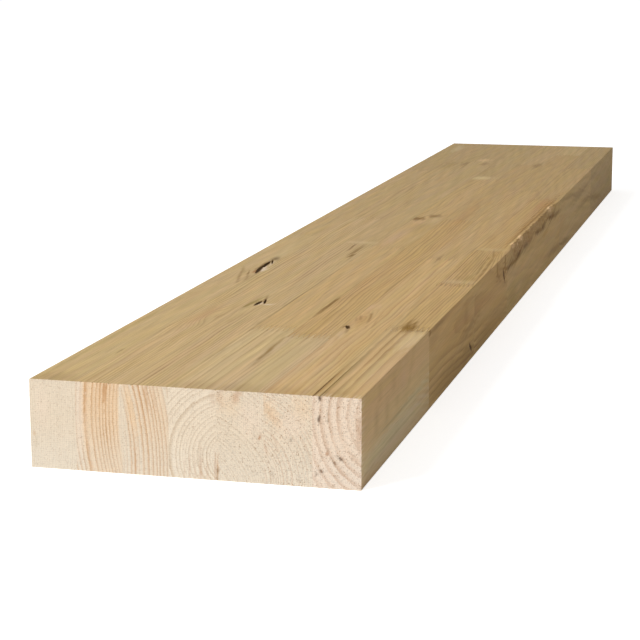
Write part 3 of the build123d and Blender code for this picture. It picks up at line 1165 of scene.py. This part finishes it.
class WoodShader(Shader):
    """Softwood: growth rings, fibres, resin canals, sawn end grain and dark knots."""

    def __init__(self, owner):
        super().__init__(owner)
        self.place = self.add("ShaderNodeTexCoord").outputs["Object"]
        self.fibre = self.noise(self.grain(0.018), 1000, 4, 0.65)
        self.hair = self.noise(self.grain(0.006), 2600, 2, 0.6)
        self.broad = self.noise(self.grain(0.03), 240, 2, 0.5)
        self.grit = self.noise(self.place, 950, 3, 0.7)

    def grain(self, along):
        """The place, drawn out along the grain by one over along."""
        return self.stretched(self.place, 1, along)

    def late_wood(self):
        """The dark part of each ring on the long grain, and on the end."""
        ring = self.sway(self.number("ring"), self.fibre, 0.35)
        ring = self.sway(ring, self.broad, 0.30)
        in_ring = self.math("FRACT", ring)
        which = self.math("FLOOR", ring)
        own = self.add("ShaderNodeTexWhiteNoise", {"W": which}, noise_dimensions="1D").outputs[0]
        own = self.plus(0.40, own, 0.85)
        own = self.ramp(self.number("steady"), 0, 1, own, 0.90)
        fall = self.times(own, self.ramp(in_ring, 0.90, 1.0, 1.0, 0.0))
        late = self.times(fall, self.math("POWER", self.ramp(in_ring, 0.15, 0.92), 1.9))
        late_at_end = self.times(fall, self.math("POWER", self.ramp(in_ring, 0.15, 0.88), 1.9))
        fading = self.ramp(self.noise(self.grain(0.08), 70, 1), 0.35, 0.65, 0.65, 1.15)
        return self.times(late, fading), late_at_end

    def canals(self):
        """Resin canals: dots on the end grain and fine dashes on the long grain."""
        canal = self.dots(self.grain(0.03), 620.0, 0.10, 0.20)
        chosen = self.ramp(self.noise(self.grain(0.03), 330, 1), 0.50, 0.62)
        return self.times(canal, chosen)

    def long_grain(self, late, canal):
        along = self.times(late, self.number("line_strength"))
        colour = self.mix(along, self.colour("tone"), self.colour("line"))
        hue = self.noise(self.grain(0.03), 130, 2, 0.6)
        cast = self.mix(self.ramp(hue, 0.30, 0.70), (0.987, 1.0, 0.94, 1), (1.014, 0.994, 1.03, 1))
        colour = self.add("ShaderNodeVectorMath", {0: colour, 1: cast}, operation="MULTIPLY").outputs[0]
        streaks = self.sway(1.0, self.fibre, 0.36)
        streaks = self.sway(streaks, self.hair, 0.34)
        streaks = self.sway(streaks, self.broad, 0.20)
        return self.mix_wood(self.times(canal, 0.30), self.tint(colour, streaks), "brown line")

    def saw_marks(self):
        """Upright and level waves, left by the saw on the end."""
        wobble = self.times(self.broad, 9)
        upright = self.math("SINE", self.plus(wobble, self.axis(self.place, 0), 4700))
        level = self.math("SINE", self.plus(wobble, self.axis(self.place, 2), 4300))
        return self.math("ADD", upright, level)

    def end_grain(self, late_at_end, canal, saw):
        line = self.times(late_at_end, self.number("end_strength"))
        colour = self.mix(line, self.colour("end_tone"), self.colour("end_line"))
        speckle = self.sway(0.035, self.grit, 0.90)
        speckle = self.plus(speckle, self.ramp(self.grit, 0.56, 0.70), -0.26)
        rough_cut = self.plus(1.0, saw, 0.026)
        rough_cut = self.plus(rough_cut, speckle, self.number("rough"))
        rough_cut = self.sway(rough_cut, self.broad, 0.08)
        pore = self.dots(self.place, 900.0, 0.20, 0.42)
        chosen = self.ramp(self.noise(self.place, 420, 2, 0.7), 0.44, 0.62)
        pore = self.times(self.times(pore, chosen), self.times(self.number("rough"), 0.60))
        colour = self.mix_wood(pore, self.tint(colour, rough_cut), "red line")
        return self.mix_wood(self.times(canal, 0.5), colour, "brown line")

    def darkened(self, colour):
        """Bark and painted shade inside the holes, with a brown halo."""
        edge = self.sway(self.number("dark"), self.fibre, 0.5)
        flakes = self.noise(self.grain(0.2), 900, 3)
        # Dark bark colours, which also stand for painted shade inside the holes.
        bark = self.mix(flakes, (0.048, 0.025, 0.009, 1), (0.150, 0.088, 0.038, 1))
        halo = self.times(self.ramp(edge, 0.12, 0.50), 0.55)
        colour = self.mix_wood(halo, colour, "brown")
        return self.mix(self.ramp(edge, 0.40, 0.62), colour, bark)

    def finish(self, gloss):
        """Puts the whole surface together."""
        late, late_at_end = self.late_wood()
        canal = self.canals()
        saw = self.saw_marks()
        normal = self.add("ShaderNodeNewGeometry").outputs["True Normal"]
        is_end = self.ramp(self.math("ABSOLUTE", self.axis(normal, 1)), 0.55, 0.80)
        colour = self.mix(is_end, self.long_grain(late, canal), self.end_grain(late_at_end, canal, saw))

        roughness = self.plus(self.plus(gloss, late, -0.06), is_end, 0.22)
        roughness = self.sway(roughness, self.hair, 0.12)
        height = self.plus(self.times(self.fibre, 0.7), late, 0.30)
        height = self.plus(height, self.times(is_end, self.grit), 1.2)
        height = self.plus(height, self.times(is_end, saw), 0.15)
        bump = self.add("ShaderNodeBump", {"Height": height, "Strength": 0.45, "Distance": 0.00015})
        surface = self.add("ShaderNodeBsdfPrincipled", {
            "Base Color": self.darkened(colour),
            "Roughness": roughness,
            "Normal": bump.outputs[0],
            "Specular IOR Level": 0.03,
        })
        self.add("ShaderNodeOutputMaterial", {"Surface": surface.outputs[0]})


def wood_material(name, gloss):
    material = bpy.data.materials.new(name)
    WoodShader(material).finish(gloss)
    return material


def seen_directly(s):
    """1 for the rays from the camera, from a reflection or through glass, and 0 for others."""
    ray = s.add("ShaderNodeLightPath")
    seen = s.math("MAXIMUM", ray.outputs["Is Camera Ray"], ray.outputs["Is Glossy Ray"])
    return s.math("MAXIMUM", seen, ray.outputs["Is Transmission Ray"])


def floor_material():
    """White to the camera, with the plank's soft shadow kept on it."""
    material = bpy.data.materials.new("studio_floor")
    s = Shader(material)
    diffuse = s.add("ShaderNodeBsdfDiffuse", {"Color": FLOOR_GREY})
    glow = s.add("ShaderNodeEmission", {"Color": WHITE, "Strength": FLOOR_GLOW})
    lit = s.add("ShaderNodeAddShader", {0: diffuse.outputs[0], 1: glow.outputs[0]})
    both = s.add("ShaderNodeMixShader", {0: seen_directly(s), 1: diffuse.outputs[0], 2: lit.outputs[0]})
    s.add("ShaderNodeOutputMaterial", {"Surface": both.outputs[0]})
    return material


# Stage

def make_floor():
    half = FLOOR_SIZE / 2
    corners = [(-half, -half, 0), (half, -half, 0), (half, half, 0), (-half, half, 0)]
    mesh = bpy.data.meshes.new("floor")
    mesh.from_pydata(corners, [], [(0, 1, 2, 3)])
    mesh.materials.append(floor_material())
    floor = bpy.data.objects.new("floor", mesh)
    bpy.context.scene.collection.objects.link(floor)


def make_world():
    """Even light from all round, and white where the camera looks past the floor."""
    world = bpy.data.worlds.new("studio")
    s = Shader(world)
    inputs = {"Value": seen_directly(s), "To Min": FILL_LIGHT, "To Max": 1.0}
    strength = s.add("ShaderNodeMapRange", inputs)
    background = s.add("ShaderNodeBackground", {"Color": WHITE, "Strength": strength.outputs[0]})
    s.add("ShaderNodeOutputWorld", {"Surface": background.outputs[0]})
    bpy.context.scene.world = world


def make_lamp():
    """One large soft lamp in front of the plank, to its left."""
    data = bpy.data.lights.new("key", "AREA")
    data.shape = "DISK"
    data.size = LAMP_SIZE
    data.energy = LAMP_WATTS
    lamp = bpy.data.objects.new("key", data)
    lamp.location = LAMP_PLACE
    lamp.rotation_euler = (Vector(LAMP_AIM) - Vector(LAMP_PLACE)).to_track_quat("-Z", "Y").to_euler()
    bpy.context.scene.collection.objects.link(lamp)


def make_camera():
    """The photograph's view: from the front right, a little above the plank."""
    data = bpy.data.cameras.new("camera")
    data.sensor_width = SENSOR_WIDTH
    data.lens = FOCAL_LENGTH
    camera = bpy.data.objects.new("camera", data)
    turn_left = Matrix.Rotation(math.radians(CAMERA_TURN), 4, "Z")
    look_down = Matrix.Rotation(math.radians(90 - CAMERA_DIP), 4, "X")
    roll = Matrix.Rotation(math.radians(CAMERA_ROLL), 4, "Z")
    camera.matrix_world = Matrix.Translation(CAMERA_PLACE) @ turn_left @ look_down @ roll
    bpy.context.scene.collection.objects.link(camera)
    bpy.context.scene.camera = camera


def make_plank():
    """Every block, in the finish of its own material slot."""
    slots = {part["node"]: part["material_slot"] for part in frame["record"]["subparts"]}
    materials = {slot: wood_material(slot, gloss) for slot, gloss in GLOSS.items()}
    for stave in range(1, STAVES + 1):
        count = sum(1 for name in frame["nodes"] if name.startswith(f"stave_{stave}_"))
        for block in range(1, count + 1):
            slot = slots[f"stave_{stave}_block_{block}"]
            make_block(stave, block, count, materials[slot])


make_camera()
make_floor()
make_world()
make_lamp()
make_plank()
bpy.context.scene.view_settings.view_transform = "Standard"
